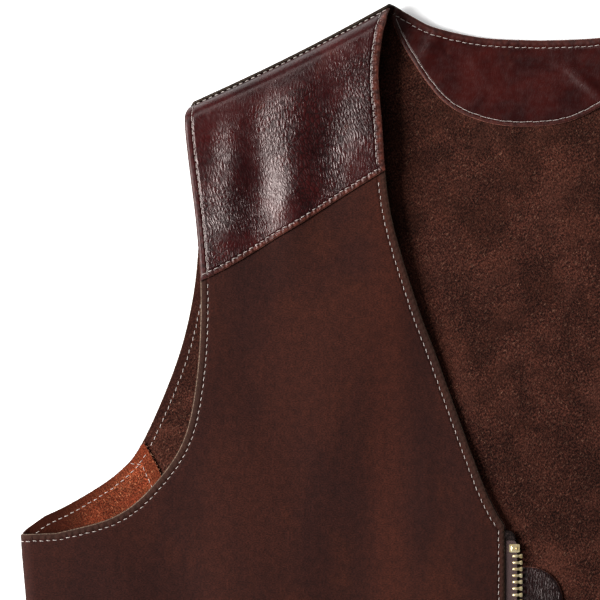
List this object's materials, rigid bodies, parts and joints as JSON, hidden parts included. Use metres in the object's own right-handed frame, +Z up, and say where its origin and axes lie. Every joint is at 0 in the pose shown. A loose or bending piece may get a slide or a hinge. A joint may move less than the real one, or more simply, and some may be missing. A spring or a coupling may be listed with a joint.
{
  "type": "leather vest laid flat",
  "caption": "Sleeveless zip-front leather vest lying open and flat on its back, with glossy shoulder yokes, side panels and a curved back neck facing.",
  "frame": {"origin": "on the underside of the back, at its centre, level with the underarms, on the surface the vest lies on", "axes": "+X towards the wearer's left, +Y up the back towards the neck, +Z up from the surface through the fronts"},
  "size_m": [0.5905, 0.6527, 0.0213],
  "materials": {
    "dark_hide": "matt nubuck, suede inside",
    "burgundy_hide": "glossy, pebble grained",
    "zip_tape": "woven twill",
    "brass": "satin",
    "thread": "waxed cotton topstitching"
  },
  "bodies": {
    "vest": {"back": "dark_hide", "front_right": "dark_hide", "front_left": "dark_hide", "yoke_right": "burgundy_hide", "yoke_left": "burgundy_hide", "side_right": "burgundy_hide", "side_left": "burgundy_hide", "neck_facing": "burgundy_hide", "zip_guard_right": "burgundy_hide", "zip_facing_left": "burgundy_hide", "zip_tape_right": "zip_tape", "zip_tape_left": "zip_tape", "zip_stop_right": "brass", "zip_stop_left": "brass", "zip_pin_right": "brass", "zip_box_left": "brass", "zip_slider": "brass"},
    "pull_tab": {"zip_pull": "brass"}
  },
  "joints": [
    {"name": "pull_hinge", "type": "hinge", "parent": "vest", "child": "pull_tab", "pos_m": [0.037, -0.3283, 0.0086], "axis": [-1, 0, 0], "range_deg": [0, 170]}
  ]
}
